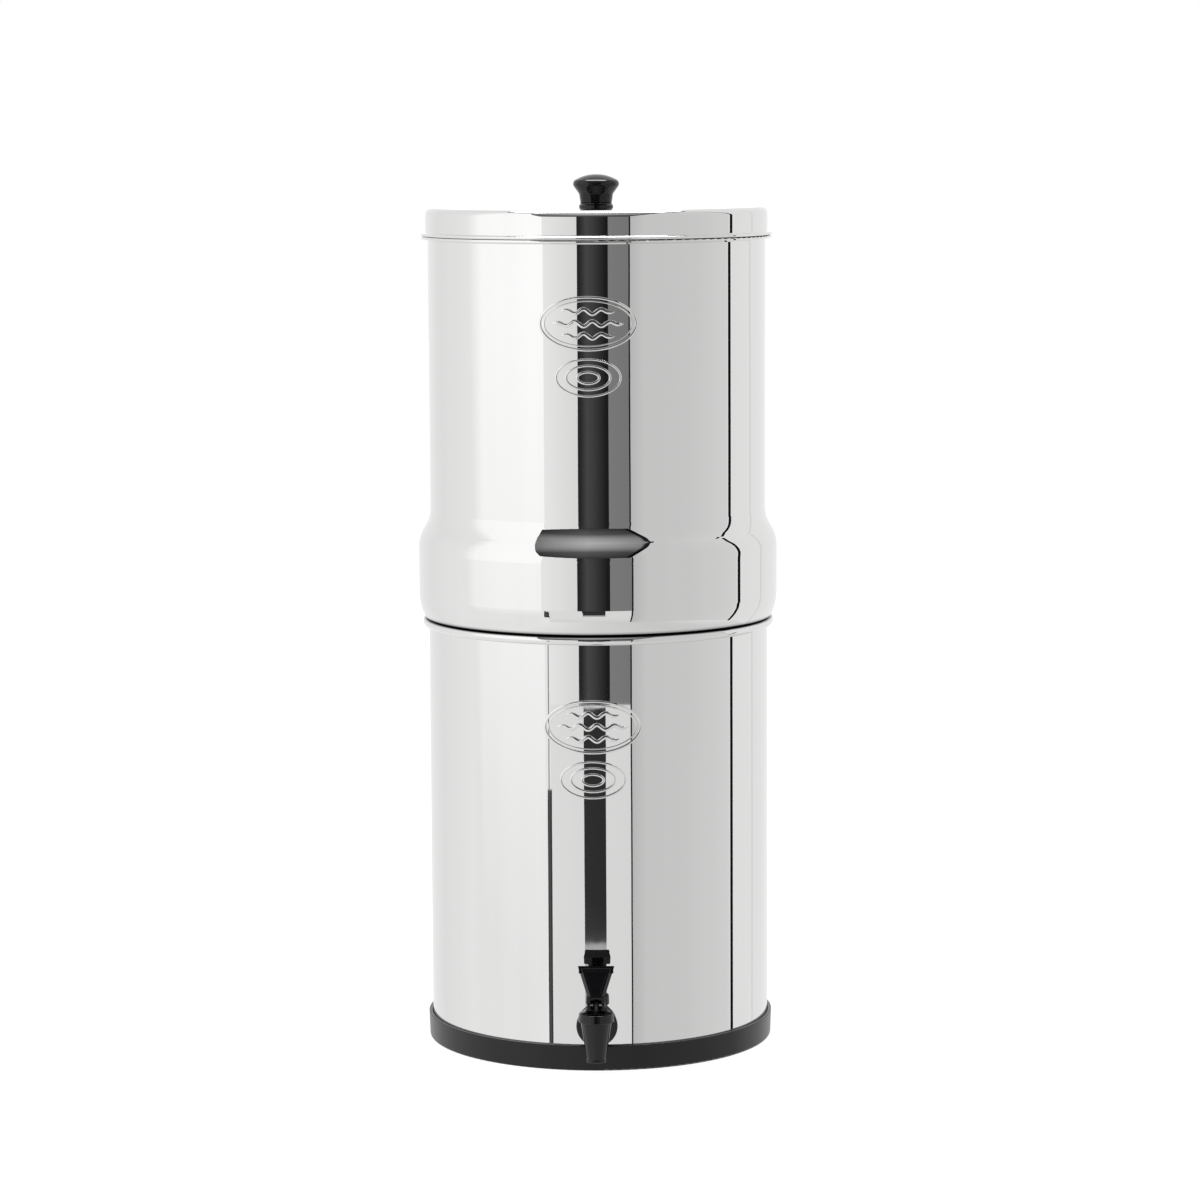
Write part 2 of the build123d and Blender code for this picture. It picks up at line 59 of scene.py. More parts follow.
# %% [markdown]
# ## The places that the rest needs
#
# Nothing is typed in that the frame can tell. The pots are round and stand on the Z axis, and the
# box of a node gives its radius and its height. The rubber tray's lip lies against the lower
# pot's wall, and the lid's neck against the upper pot's, so those two boxes give the plain walls.

# %% Read the places
MM = 0.001
tray_wall = 2.8 * MM
lid_overhang = 4.9 * MM


def outer_radius(node):
    low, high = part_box(node)
    return (high.x - low.x) / 2


lower_wall = outer_radius("base_ring") - tray_wall
upper_wall = outer_radius("lid_shell") - lid_overhang
joint_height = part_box("lower_chamber")[1].z
print(f"walls at {lower_wall:.4f} and {upper_wall:.4f} m, joint at {joint_height:.4f} m")

# %% [markdown]
# ## The camera
#
# The object is looked at from just above its knob, so the lid is seen nearly edge on and the foot
# from well above. A lens shift would frame it as well, but a shift stays with the camera in every
# other view, so this camera looks down a little instead. Its lens is given in pixels of the frame.

# %% Place the camera
camera_distance = 2.725
camera_height = 0.64175
camera_azimuth = math.radians(1.08)
camera_pitch = math.radians(6.953)
camera_roll = math.radians(-0.293)
camera_turn = math.radians(-0.027)
lens_pixels = 3898
frame_pixels = 1200

camera = bpy.data.objects.new("camera", bpy.data.cameras.new("camera"))
bpy.context.scene.collection.objects.link(camera)
camera.data.sensor_width = 36
camera.data.lens = lens_pixels / frame_pixels * camera.data.sensor_width
camera_place = Vector((math.sin(camera_azimuth), -math.cos(camera_azimuth), 0)) * camera_distance
camera_place.z = camera_height
camera.matrix_world = (
    Matrix.Translation(camera_place)
    @ Matrix.Rotation(camera_azimuth + camera_turn, 4, "Z")
    @ Matrix.Rotation(math.radians(90) - camera_pitch, 4, "X")
    @ Matrix.Rotation(camera_roll, 4, "Z")
)
bpy.context.scene.camera = camera
bpy.context.scene.view_settings.view_transform = "Standard"
print("camera at", [round(v, 3) for v in camera_place], f"lens {camera.data.lens:.1f} mm")

# %% [markdown]
# ## Shader maths in plain Python
#
# A node tree is easier to read as a formula. A `Wire` is one output socket, and Python's own
# operators on wires add Math nodes. A `Finish` is one material, and its `node` method makes any
# other node from a type, its settings, and the values or wires of its sockets.


# %% The two helpers of every material
class Wire:
    """An output socket that takes part in sums."""

    def __init__(self, finish, socket):
        self.finish = finish
        self.socket = socket

    def sibling(self, output):
        """Another output of the same node."""
        return Wire(self.finish, self.socket.node.outputs[output])

    def maths(self, operation, first, second):
        return self.finish.node("ShaderNodeMath", {"operation": operation}, {0: first, 1: second})

    def __add__(self, other):
        return self.maths("ADD", self, other)

    __radd__ = __add__

    def __sub__(self, other):
        return self.maths("SUBTRACT", self, other)

    def __rsub__(self, other):
        return self.maths("SUBTRACT", other, self)

    def __mul__(self, other):
        return self.maths("MULTIPLY", self, other)

    __rmul__ = __mul__


class Finish:
    """One material, made node by node."""

    def __init__(self, name):
        self.material = bpy.data.materials.new(name)
        self.material.use_nodes = True
        self.tree = self.material.node_tree
        self.tree.nodes.clear()

    def node(self, kind, settings=None, inputs=None, output=0):
        made = self.tree.nodes.new(kind)
        for name, value in (settings or {}).items():
            if name == "stops":
                self.set_stops(made.color_ramp, value)
            else:
                setattr(made, name, value)
        for name, value in (inputs or {}).items():
            if isinstance(value, Wire):
                self.tree.links.new(value.socket, made.inputs[name])
            else:
                made.inputs[name].default_value = value
        return Wire(self, made.outputs[output]) if made.outputs else None

    @staticmethod
    def set_stops(ramp, stops):
        """A ramp's stops are pairs of a place from 0 to 1 and a grey or a colour."""
        while len(ramp.elements) < len(stops):
            ramp.elements.new(1.0)
        for element, (place, shade) in zip(ramp.elements, stops):
            colour = (shade, shade, shade) if isinstance(shade, (int, float)) else shade
            element.position = place
            element.color = (*colour, 1)

    def place(self, scale=(1, 1, 1), centre=(0, 0, 0)):
        """Object coordinates in metres, measured from a centre and scaled along each axis."""
        where = self.node("ShaderNodeTexCoord", output="Object")
        moved = self.node("ShaderNodeVectorMath", {"operation": "SUBTRACT"}, {0: where, 1: centre})
        return self.node("ShaderNodeVectorMath", {"operation": "MULTIPLY"}, {0: moved, 1: scale})

    def noise(self, scale, detail=2.0, stretch=(1, 1, 1)):
        """Soft random values from 0 to 1. The scale counts the bumps in a metre."""
        return self.node("ShaderNodeTexNoise", None,
                         {"Vector": self.place(stretch), "Scale": scale, "Detail": detail})

    def mix(self, factor, first, second):
        """A colour that turns from the first to the second as the factor goes from 0 to 1."""
        inputs = {0: factor}
        for socket, colour in ((6, first), (7, second)):
            inputs[socket] = colour if isinstance(colour, Wire) else (*colour, 1)
        return self.node("ShaderNodeMix", {"data_type": "RGBA"}, inputs, output=2)

    def bump(self, height, distance, normal=None):
        """Turns a height from 0 to 1 into a relief of that many metres."""
        inputs = {"Height": height, "Strength": 1.0, "Distance": distance}
        if normal is not None:
            inputs["Normal"] = normal
        return self.node("ShaderNodeBump", None, inputs)

    def surface(self, **sockets):
        """Closes the material with one Principled shader."""
        named = {name.replace("_", " "): value for name, value in sockets.items()}
        shader = self.node("ShaderNodeBsdfPrincipled", None, named)
        self.node("ShaderNodeOutputMaterial", None, {"Surface": shader})
        return self.material


print("shader helpers ready")

# %% [markdown]
# ## The studio
#
# A mirror has no looks of its own: what it shows is the room. This room is built from big white
# panels, with a dark gap between them where the camera looks in. The gap becomes the dark stripe
# down the middle of the steel, and the panels become its broad greys.
#
# Area lights would light the steel too, but their edges are hard and their light is even. Each
# panel is a glowing card instead, and ramps over its width and height give it the soft edges and
# the fall of light that real panels have. The camera sees the cards' mirror images alone.

# %% A glowing card
studio_radius = 3.0
studio_top = 5.4
studio_foot = -1.3
white = (1, 1, 1, 1)
even = ((0, 1.0), (1, 1.0))


def light_card(name, place_of, across, along=even, least=0.0, columns=2, rows=2):
    """A card whose place comes from a function of its width and height, each from 0 to 1.

    Across and along are ramps over its width and its height. The light is their product, but
    nowhere less than the least."""
    bpy.ops.object.select_all(action="DESELECT")
    bpy.ops.mesh.primitive_grid_add(x_subdivisions=columns, y_subdivisions=rows, size=1)
    card = bpy.context.object
    card.name = name
    for vertex in card.data.vertices:
        vertex.co = place_of(vertex.co.x + 0.5, vertex.co.y + 0.5)
    glow = Finish(name)
    split = glow.node("ShaderNodeSeparateXYZ", None, {0: glow.node("ShaderNodeTexCoord", output="UV")})
    wide = glow.node("ShaderNodeValToRGB", {"stops": across}, {0: split})
    tall = glow.node("ShaderNodeValToRGB", {"stops": along}, {0: split.sibling("Y")})
    strength = wide.maths("MAXIMUM", wide * tall, least)
    light = glow.node("ShaderNodeEmission", None, {"Color": white, "Strength": strength})
    glow.node("ShaderNodeOutputMaterial", None, {"Surface": light})
    card.data.materials.append(glow.material)
    card.visible_camera = False


print("the studio reaches from", studio_foot, "to", studio_top, "m")

# %% [markdown]
# ### Panels round the object
#
# The panels stand side by side on a circle, each from one direction to another. Directions are in
# degrees to the right of the front. A round pot mirrors a direction at half that angle, so the
# side of it that is seen shows the whole room.
#
# A few more cards stand some centimetres inside the circle. A low panel closes the foot of the
# gap, and a narrow second gap before that panel makes the thin stripe of the lower pot. A seam to
# the left of it runs down the lower pot too. The flat lid is seen nearly edge on and mirrors the
# back of the room, so a brighter card stands there for it.

# %% The edges of the panels
softbox_left = -94.0
softbox_right = -34.6
gap_left = -11.8
gap_middle = 8.5
gap_right = 22.0
right_panel_start = 23.0
right_panel_end = 99.9
far_panel_start = 102.7
back_right = 150.0
back_left = 205.0
gap_foot = -0.171
gap_top = 1.0
print("the gap is", round(gap_right - gap_left, 1), "degrees wide")


# %% A card that stands on the circle
wall_columns = 24


def wall_card(name, left, right, across, low=studio_foot, high=studio_top, inset=0.0, along=even,
              least=0.0):
    """A standing card that follows the studio's circle from one direction to another."""
    radius = studio_radius - inset

    def place_of(wide, tall):
        angle = math.radians(left + (right - left) * wide)
        return radius * math.sin(angle), -radius * math.cos(angle), low + (high - low) * tall

    light_card(name, place_of, across, along, least, columns=wall_columns)


print("a card on the circle has", wall_columns, "columns")

# %% Panels round the object
fade_down = ((0, 0.62), (0.209, 0.955), (0.254, 1.0), (1, 1.0))
black = ((0, 0.006), (1, 0.006))

wall_card("softbox_left", softbox_left, softbox_right,
          ((0, 0.98), (0.2, 1.20), (0.9, 1.25), (1, 1.22)), along=fade_down, least=0.98)
wall_card("panel_front_left", softbox_right, gap_left, ((0, 1.0), (0.4, 0.95), (1, 0.86)))
wall_card("gap_dark", gap_left, gap_middle,
          ((0, 0.02), (0.1, 0.028), (0.3, 0.074), (0.5, 0.058), (0.71, 0.035), (0.92, 0.014), (1, 0.014)),
          high=gap_top)
wall_card("gap_grey", gap_middle, gap_right, ((0, 0.24), (1, 0.225)), high=gap_top)
wall_card("seam_right_front", gap_right, right_panel_start, black)
wall_card("panel_right", right_panel_start, right_panel_end,
          ((0, 0.60), (0.12, 0.70), (0.5, 0.715), (0.98, 0.80), (1, 0.96)))
wall_card("seam_right", right_panel_end, far_panel_start, black)
wall_card("panel_far_right", far_panel_start, back_right,
          ((0, 0.98), (0.03, 0.91), (0.50, 0.92), (0.53, 0.70), (0.55, 0.92), (1, 0.93)))
wall_card("panel_back_right", back_right, back_left, ((0, 0.93), (1, 0.93)))
wall_card("panel_back_left", back_left, 360 + softbox_left, ((0, 0.93), (0.4, 0.90), (1, 0.98)))
print("the panels go round from", softbox_left, "to", 360 + softbox_left, "degrees")

# %% Cards before the panels
backdrop_sides = (169.0, 193.0)
backdrop_heights = (0.4, 1.05)
low_panel_left = -31.0
narrow_sides = (-8.9, 5.6)
narrow_foot = -0.62
seam_foot = -0.72
seam_step = -0.294
seam_top = -0.082
seam_sides = (-33.2, -30.3)
thin_seam_sides = (-32.6, -31.9)
step_inside = 0.05

wall_card("lid_backdrop", *backdrop_sides, ((0, 0.93), (0.25, 1.3), (0.75, 1.3), (1, 0.93)),
          *backdrop_heights, inset=step_inside,
          along=((0, 0.7), (0.3, 1.0), (0.7, 1.0), (1, 0.7)), least=0.93)
wall_card("panel_low_front", low_panel_left, gap_right, ((0, 0.90), (1, 0.84)),
          high=gap_foot, inset=0.03, along=((0, 0.92), (0.5, 1.0), (1, 1.0)))
wall_card("gap_narrow", *narrow_sides, ((0, 0.036), (1, 0.032)), narrow_foot, gap_foot, inset=0.06,
          along=((0, 15.0), (0.234, 14.0), (0.244, 2.0), (0.286, 1.3), (0.376, 1.0)))
wall_card("seam_left_low", *seam_sides, ((0, 0.02), (0.4, 0.10), (0.7, 0.06), (1, 0.02)),
          seam_foot, seam_step, inset=step_inside)
wall_card("seam_left_high", *thin_seam_sides, ((0, 0.25), (1, 0.25)),
          seam_step, seam_top, inset=step_inside)
print("the seam on the left goes from", seam_foot, "to", seam_top, "m")

# %% [markdown]
# ### Cards over and under the object
#
# The shoulder of the upper pot looks up and forward, and shows a dark flag over the camera as a
# lens-shaped mark. The flag is wide and low in front, and narrower, higher and paler near the
# object. A softbox above, mostly behind the object, puts the light on the knob and on the round
# edges. Its far part is weak, because the flat lid mirrors that part when it is looked at from
# above, and would burn out.

# %% A card between two edges
def level_card(name, start, end, across, along=even, columns=2, rows=2):
    """A card between two edges, each given by its left, its right, its y and its z."""

    def place_of(wide, tall):
        left, right, y, z = (first + (last - first) * tall for first, last in zip(start, end))
        return left + (right - left) * wide, y, z

    light_card(name, place_of, across, along, columns=columns, rows=rows)


flag_near = (-2.05, 1.14, -2.99, 0.97)
flag_far = (-0.75, 0.81, -0.34, 1.95)
print(f"the flag is {flag_near[1] - flag_near[0]:.2f} m wide, and {flag_far[1] - flag_far[0]:.2f} m far in")

# %% Cards over and under the object
sides = (-studio_radius, studio_radius)
softbox_sides = (-1.2, 1.2)
softbox_height = 3.3

level_card("front_ceiling", flag_near, flag_far,
           ((0, 0.4), (0.5, 1.0), (0.93, 0.55), (0.96, 0.03), (1, 0.03)),
           ((0, 0.02), (0.015, 0.05), (0.45, 0.12), (0.7, 0.5), (1, 0.6)), columns=8, rows=8)
level_card("high_ceiling", (*sides, -studio_radius, studio_top), (*sides, 2.0, studio_top),
           ((0, 0.25), (0.3, 0.08), (1, 0.08)))
level_card("overhead_softbox", (*softbox_sides, -0.25, softbox_height),
           (*softbox_sides, 2.35, softbox_height), ((0, 0.92), (0.5, 1.0), (1, 1.0)),
           ((0, 13.0), (0.54, 13.0), (0.62, 1.15), (0.8, 0.9), (1, 0.8)))
level_card("low_floor", (*sides, studio_radius, studio_foot), (*sides, -studio_radius, studio_foot),
           ((0, 0.96), (0.25, 0.98), (0.5, 0.80), (0.75, 0.72), (0.85, 0.74), (1, 0.90)))
print("studio cards made")

# %% [markdown]
# ### Floor and world
#
# The floor is plain and pale, and it glows, as a white sweep does that is lit from below. It
# isn't in the mirror: the panels reach down past it, as they do round a small table, and the
# card far below them takes its place there.

# %% Floor and world
floor_radius = 9.0
sweep_grey = (0.07, 0.07, 0.07, 1)
sweep_glow = 0.955

bpy.ops.object.select_all(action="DESELECT")
bpy.ops.mesh.primitive_circle_add(vertices=96, radius=floor_radius, fill_type="NGON")
floor = bpy.context.object
floor.name = "floor"
floor.visible_glossy = False
white_sweep = Finish("white_sweep")
floor.data.materials.append(
    white_sweep.surface(Base_Color=sweep_grey, Roughness=0.9, Emission_Color=white,
                        Emission_Strength=sweep_glow)
)

world = bpy.data.worlds.new("white_room")
bpy.context.scene.world = world
world.use_nodes = True
background = world.node_tree.nodes["Background"]
background.inputs["Color"].default_value = white
background.inputs["Strength"].default_value = 1.0
print("floor and world made")

# %% [markdown]
# ## The lid, spun once more
#
# The lid is a thin shell with small round edges, and a mirror shows every facet of them. CAD gives
# it about eighty facets round. A real lid is spun on a lathe, and so is this one: a copy of the
# CAD shell is cut by a plane, and the outline that is left is spun in many more steps. Flat walls
# have to stay flat under smooth shading, so each normal follows the largest face at its corner.

# %% Spin the lid
lid_steps = 360
same_point = 0.002 * MM
sharp_angle = math.radians(50)


def spun_shell(name, node, steps):
    """A smooth shell on the Z axis with the outline of a CAD node, on its +X side."""
    shell = bpy.data.objects.new(name, nodes[node].data.copy())
    bpy.context.scene.collection.objects.link(shell)
    bpy.ops.object.select_all(action="DESELECT")
    shell.select_set(True)
    bpy.context.view_layer.objects.active = shell
    bpy.ops.object.mode_set(mode="EDIT")
    bpy.ops.mesh.select_all(action="SELECT")
    bpy.ops.mesh.remove_doubles(threshold=same_point)
    bpy.ops.mesh.bisect(plane_co=(0, 0, 0), plane_no=(0, 1, 0), clear_inner=True, clear_outer=True,
                        threshold=same_point)
    bpy.ops.mesh.select_all(action="SELECT")
    bpy.ops.mesh.bisect(plane_co=(0, 0, 0), plane_no=(1, 0, 0), clear_inner=True)
    bpy.ops.mesh.select_all(action="SELECT")
    bpy.ops.mesh.remove_doubles(threshold=same_point)
    bpy.ops.mesh.select_all(action="SELECT")
    bpy.ops.mesh.spin(steps=steps, angle=math.tau, center=(0, 0, 0), axis=(0, 0, 1))
    bpy.ops.mesh.select_all(action="SELECT")
    bpy.ops.mesh.remove_doubles(threshold=same_point)
    bpy.ops.mesh.normals_make_consistent(inside=False)
    bpy.ops.object.mode_set(mode="OBJECT")
    bpy.ops.object.shade_smooth_by_angle(angle=sharp_angle)
    shell.modifiers.new("flat_walls", "WEIGHTED_NORMAL").weight = 100
    bpy.ops.object.modifier_apply(modifier="flat_walls")
    return shell


smooth_lid = spun_shell("smooth_lid", "lid_shell", lid_steps)
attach(smooth_lid, "lid")
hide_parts("lid_shell")
outline = [vertex.co for vertex in smooth_lid.data.vertices if abs(vertex.co.y) < same_point]
print("lid of", len(smooth_lid.data.polygons), "faces from", len(outline) // 2, "points")

# %% [markdown]
# ## The stamped ornaments
#
# Each pot carries an ornament at its front, pressed into the sheet: an oval with waves of water,
# and under it the rings that a drop leaves. A bump in the steel's finish could show them, but a
# mirror gives a false relief away, and the lines can be felt on the real pot. So they are shapes.
#
# A press rounds every line, so each line is a curve with a round bevel, flattened until it stands
# only a little proud, and half sunk in the wall. They are drawn flat, as a die is cut, and then
# wrapped round the pot.

# %% Draw a ridge
ridge_proud = 0.5 * MM
ridge_end = 0.25


def ridge(route, width, closed=False, proud=ridge_proud):
    """A low round ridge along a route of (x, z) points on the plane of the front."""
    bpy.ops.object.select_all(action="DESELECT")
    bpy.ops.curve.primitive_nurbs_path_add()
    line = bpy.context.object
    spline = line.data.splines[0]
    spline.points.add(len(route) - len(spline.points))
    for point, (x, z) in zip(spline.points, route):
        point.co = (x, 0, z, 1)
    spline.use_cyclic_u = closed
    spline.use_endpoint_u = not closed
    spline.order_u = 4
    if not closed:
        spline.points[0].radius = spline.points[-1].radius = ridge_end
    line.data.resolution_u = 4
    line.data.bevel_depth = width / 2
    line.data.bevel_resolution = 3
    line.data.use_fill_caps = True
    bpy.ops.object.convert(target="MESH")
    made = bpy.context.object
    for vertex in made.data.vertices:
        vertex.co.y *= proud / (width / 2)
    return made


print("a ridge stands", ridge_proud, "m proud")


# %% The lines of the ornament
def oval(width, height, drop=0.0, points=28):
    """The points of an oval, whose centre lies lower by the drop."""
    turns = [math.tau * i / points for i in range(points)]
    return [(width / 2 * math.cos(turn), height / 2 * math.sin(turn) - drop) for turn in turns]


def water_wave(length, waves, swing, lift):
    """A wave line: four points to each wave, whose swing fades towards both ends."""
    count = 4 * waves
    route = []
    for i in range(count + 1):
        share = i / count
        calm = math.sin(math.pi * share) ** 0.5 if 0 < i < count else 0
        route.append((length * (share - 0.5), lift + swing * calm * math.sin(math.tau * waves * share)))
    return route


wave_swing = 2.6 * MM
wave_width = 2.9 * MM
ornament_drop = 36.2 * MM
# Size across, size up, width of the line, and how proud it stands
border_lines = ((66.0 * MM, 35.6 * MM, 1.9 * MM, ridge_proud), (60.4 * MM, 30.4 * MM, 1.0 * MM, 0.3 * MM))
# Length, count of waves, and height over the oval's middle
wave_lines = ((36 * MM, 3, 8.2 * MM), (48 * MM, 4, 0.0), (36 * MM, 3, -8.2 * MM))
# Size across, size up, and width of the line
ring_lines = ((44.0 * MM, 25.0 * MM, 1.6 * MM), (30.0 * MM, 16.4 * MM, 1.7 * MM),
              (15.0 * MM, 7.8 * MM, 1.9 * MM))


def ornament_lines():
    """The border of two ovals, the three waves in it, and the three rings under it."""
    border = [ridge(oval(across, up), width, closed=True, proud=proud)
              for across, up, width, proud in border_lines]
    waves = [ridge(water_wave(length, count, wave_swing, lift), wave_width)
             for length, count, lift in wave_lines]
    rings = [ridge(oval(across, up, ornament_drop), width, closed=True)
             for across, up, width in ring_lines]
    return border + waves + rings


print("each ornament has", len(border_lines + wave_lines + ring_lines), "lines")


# %% Stamp both pots
def stamp(name, body, wall, place):
    """Draws the whole ornament, joins it and wraps it round the wall at an (x, z) place."""
    side, height = place
    lines = ornament_lines()
    bpy.ops.object.select_all(action="DESELECT")
    for line in lines:
        line.select_set(True)
    bpy.context.view_layer.objects.active = lines[0]
    bpy.ops.object.join()
    ornament = bpy.context.object
    ornament.name = name
    bpy.ops.object.mode_set(mode="EDIT")
    bpy.ops.mesh.select_all(action="SELECT")
    bpy.ops.mesh.normals_make_consistent(inside=False)
    bpy.ops.object.mode_set(mode="OBJECT")
    for vertex in ornament.data.vertices:
        x, y, z = vertex.co
        angle = (x + side) / wall
        reach = wall - y
        vertex.co = (reach * math.sin(angle), -reach * math.cos(angle), z + height)
    bpy.ops.object.shade_smooth()
    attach(ornament, body)
    return ornament


upper_place = (-3.7 * MM, 509.7 * MM)
lower_place = (-2.0 * MM, 237.2 * MM)
ornaments = [
    stamp("upper_ornament", "upper_unit", upper_wall, upper_place),
    stamp("lower_ornament", "lower_unit", lower_wall, lower_place),
]
print(len(ornaments), "ornaments of", len(ornaments[0].data.polygons), "faces")

# %% [markdown]
# ## Finishes
#
# ### Polished steel
#
# The steel is polished, but drawn sheet is never quite even. A long, very low wave bends the
# reflected panels a little, and the polishing wheel leaves faint upright streaks. The press has
# pulled at the sheet round each ornament, so the waves are shorter and deeper there. Noise in a
# bump and in the roughness gives all that, and needs no more faces.
#
# Two places aren't a mirror. The wheel doesn't reach into a pot, so its inside keeps the satin
# that drawing leaves, and the direction in which a face looks tells inside from outside. At the
# joint the shoulder and the rim shut the light out between them, and a dark band in the steel's
# colour stands for that. Rays that go to and fro between two mirrors would find no dark there.

# %% Where the steel differs
# Painted shade at the joint: heights over and under it, and how far the steel's colour is painted towards
# black there
painted_shade_span = 8 * MM
painted_shade_stops = ((-1.5 * MM, 0.0), (-0.7 * MM, 0.9), (0.0, 1.0), (0.9 * MM, 0.97), (1.6 * MM, 0.45),
                 (3.0 * MM, 0.0))


def near_place(finish, centre, inner, outer):
    """1 within the inner distance of a place, and 0 beyond the outer one."""
    distance = finish.node("ShaderNodeVectorMath", {"operation": "LENGTH"},
                           {0: finish.place(centre=centre)}, output="Value")
    return finish.node("ShaderNodeMapRange", {"interpolation_type": "SMOOTHSTEP"},
                       {"Value": distance, "From Min": inner, "From Max": outer,
                        "To Min": 1.0, "To Max": 0.0})


def joint_painted_shade(finish):
    """1 where shade is painted at the joint of the pots, by the painted shades at heights over and under
    it.
    """
    apart = finish.node("ShaderNodeSeparateXYZ", None, {0: finish.place(centre=(0, 0, joint_height))})
    stops = [(height / painted_shade_span + 0.5, shade) for height, shade in painted_shade_stops]
    return finish.node("ShaderNodeValToRGB", {"stops": stops},
                       {0: apart.sibling("Z") * (1 / painted_shade_span) + 0.5})


def inside_of(finish):
    """1 on the faces that look at the axis or up from the floor, which is a pot's inside."""
    facing = finish.node("ShaderNodeTexCoord", output="Normal")
    outward = finish.node("ShaderNodeVectorMath", {"operation": "SUBTRACT"},
                          {0: finish.place(scale=(1, 1, 0)), 1: (0, 0, 20 * MM)})
    leaning = finish.node("ShaderNodeVectorMath", {"operation": "DOT_PRODUCT"},
                          {0: facing, 1: outward}, output="Value")
    return finish.node("ShaderNodeMapRange", None,
                       {"Value": leaning, "From Min": -2 * MM, "From Max": -12 * MM})


print(f"the dark band is {(painted_shade_stops[-1][0] - painted_shade_stops[0][0]) / MM:.1f} mm high")

# %% Polished steel
# Each count says how many bumps a metre holds, and three of them are for x, y and z
light_steel = (0.80, 0.80, 0.795)
dark_steel = (0.755, 0.755, 0.75)
# The black that paints the shade in the gap between shoulder and rim
painted_shade_black = (0.02, 0.02, 0.02)
long_wave = 14
short_wave = 42
short_wave_share = 0.55
wave_height = 0.06 * MM
pull_inner = 24 * MM
pull_outer = 52 * MM
cloud_count = 9
streak_count = (240, 240, 3)
band_count = (70, 70, 2)
mirror_roughness = 0.010
streak_roughness = 0.03
satin_roughness = 0.26
satin_loss = 0.4


def polished_steel(name, stamps=(), pot=False):
    """A mirror, bent a little by waves and dulled a little by streaks, with satin in a pot."""
    steel = Finish(name)
    inside = inside_of(steel) if pot else 0.0
    wave = steel.noise(long_wave, detail=1.0)
    for centre in stamps:
        pull = near_place(steel, centre, pull_inner, pull_outer)
        wave = wave + short_wave_share * pull * steel.noise(short_wave, detail=0.0)
    streaks = steel.noise(1, detail=0.0, stretch=streak_count)
    cloud = steel.noise(cloud_count, detail=3.0)
    bands = steel.noise(1, detail=2.0, stretch=band_count)
    polish = steel.mix(bands, light_steel, dark_steel)
    # Painted shade: the colour turns black in a band at the joint, where the shoulder and the rim shut out
    # the light
    return steel.surface(
        Base_Color=steel.mix(joint_painted_shade(steel), polish, painted_shade_black),
        Metallic=1.0 - satin_loss * inside, Normal=steel.bump(wave, wave_height),
        Roughness=mirror_roughness + streak_roughness * cloud * streaks + satin_roughness * inside,
    )


stamp_places = [(side, -wall, height - ornament_drop / 2)
                for wall, (side, height) in ((upper_wall, upper_place), (lower_wall, lower_place))]
finishes = {
    "chamber_steel": polished_steel("chamber_steel", stamp_places, pot=True),
    "lid_steel": polished_steel("lid_steel"),
}
print("polished steels:", ", ".join(finishes))

# %% [markdown]
# ### Satin steel
#
# The screw and the washer under the knob and the lever's pin are turned or stamped. Nobody
# polishes them, so they keep fine rings and scratches. One noise with bumps of about half a
# millimetre gives both their uneven gloss and their relief.

# %% Satin steel
satin_steel = (0.62, 0.62, 0.61, 1)
scratch_count = (2600, 2600, 900)
scratch_depth = 0.006 * MM


def brushed_steel(name):
    """Small turned and stamped parts: satin, with fine rings and scratches all round."""
    steel = Finish(name)
    scratches = steel.noise(1, detail=4.0, stretch=scratch_count)
    return steel.surface(
        Base_Color=satin_steel, Metallic=1.0,
        Roughness=0.22 + 0.16 * scratches, Normal=steel.bump(scratches, scratch_depth),
    )


finishes["fastener_steel"] = brushed_steel("fastener_steel")
print("steels:", ", ".join(finishes))

# %% [markdown]
# ### Rubber and plastics
#
# The tray, the tap, the knob, the soft washers, the caps and the nuts all come from a mould, so
# one recipe serves them all. A mould's own skin gives a moulding its grain, and its colour and
# gloss drift a little over a centimetre or two. The tap and the knob are glossy, with hardly any
# grain, and the tray's rubber is duller. Black looks grey soon in a white studio, so the blacks
# are very dark, and the glossy ones and the tray mirror a little less than plastic does by default.

# %% Rubber and plastics
skin_cloud_count = 60
cloud_tint = 1.25


def moulded(name, colour, roughness, grain_scale, grain_height, spread=0.1, gloss=0.5):
    """Plastic or rubber from a mould: a fine skin, slightly uneven colour and uneven gloss."""
    skin = Finish(name)
    grain = skin.noise(grain_scale, detail=3.0)
    cloud = skin.noise(skin_cloud_count, detail=2.0)
    tint = skin.mix(cloud, colour, [cloud_tint * part for part in colour])
    return skin.surface(
        Base_Color=tint, Roughness=roughness - spread / 2 + spread * cloud,
        Specular_IOR_Level=gloss, Normal=skin.bump(grain, grain_height),
    )


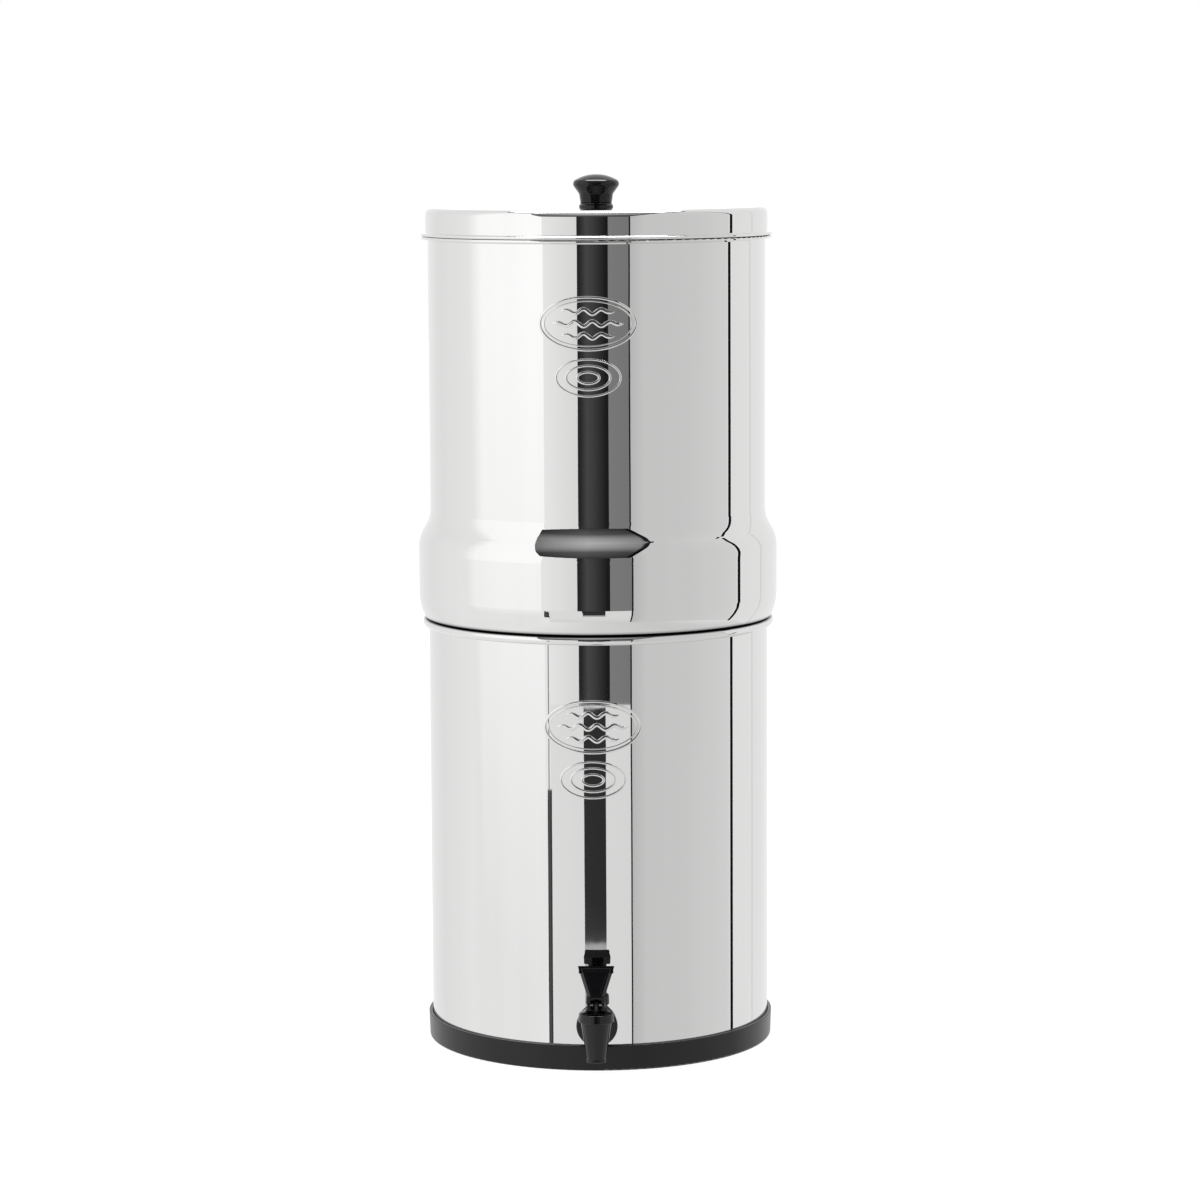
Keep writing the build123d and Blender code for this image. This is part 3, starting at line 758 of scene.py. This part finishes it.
# Slot, colour, roughness, grains in a metre, their height, spread of the gloss, strength of the mirror
mouldings = (
    ("rubber_base", (0.0045, 0.0045, 0.005), 0.30, 900, 0.012 * MM, 0.08, 0.38),
    ("knob_plastic", (0.004, 0.004, 0.005), 0.09, 300, 0.003 * MM, 0.04, 0.36),
    ("tap_plastic", (0.004, 0.004, 0.005), 0.09, 300, 0.003 * MM, 0.04, 0.38),
    ("stem_plastic", (0.02, 0.02, 0.022), 0.16, 300, 0.004 * MM, 0.06),
    ("black_rubber", (0.01, 0.01, 0.01), 0.55, 900, 0.02 * MM),
    ("silicone", (0.66, 0.66, 0.63), 0.34, 500, 0.01 * MM),
    ("cap_plastic", (0.03, 0.03, 0.033), 0.35, 700, 0.015 * MM),
    ("nut_plastic", (0.70, 0.70, 0.68), 0.32, 600, 0.01 * MM),
)
for name, *values in mouldings:
    finishes[name] = moulded(name, *values)
print(len(finishes), "finishes so far")

# %% [markdown]
# ### Carbon
#
# The filters are grains of carbon, pressed and bound into a cylinder. Each grain is about a
# millimetre wide, and the block is matt and full of pores. A Voronoi texture makes cells of that
# size, whose heights give the grains and pores, and a soft noise makes paler patches of dust.

# %% Carbon
carbon_black = (0.012, 0.012, 0.013)
carbon_dust = (0.045, 0.045, 0.046)
grain_count = 900.0
pore_depth = 0.25 * MM
dust_count = 120


def pressed_carbon(name):
    """Carbon grains pressed into a cylinder: matt, black, and full of fine pores."""
    block = Finish(name)
    grains = block.node("ShaderNodeTexVoronoi", None, {"Vector": block.place(), "Scale": grain_count})
    dust = block.noise(dust_count, detail=3.0)
    return block.surface(
        Base_Color=block.mix(dust, carbon_black, carbon_dust),
        Roughness=0.75 + 0.2 * dust, Normal=block.bump(grains, pore_depth),
    )


finishes["filter_carbon"] = pressed_carbon("filter_carbon")
print(len(finishes), "finishes in all")

# %% [markdown]
# ## Dress the pieces
#
# The record of the part names a slot for each piece, and each slot has one finish here. The
# ornaments are pressed from the pots' own sheet and take its steel, and the spun lid takes the
# steel of the shell whose place it has.


# %% Dress the pieces
def dress(piece, slot):
    """Gives a piece one finish in place of any that it had."""
    piece.data.materials.clear()
    piece.data.materials.append(finishes[slot])


for part in frame["record"]["subparts"]:
    dress(nodes[part["node"]], part["material_slot"])
for ornament in ornaments:
    dress(ornament, "chamber_steel")
dress(smooth_lid, "lid_steel")
print(len(finishes), "finishes on", len(nodes), "nodes and", len(ornaments), "ornaments")
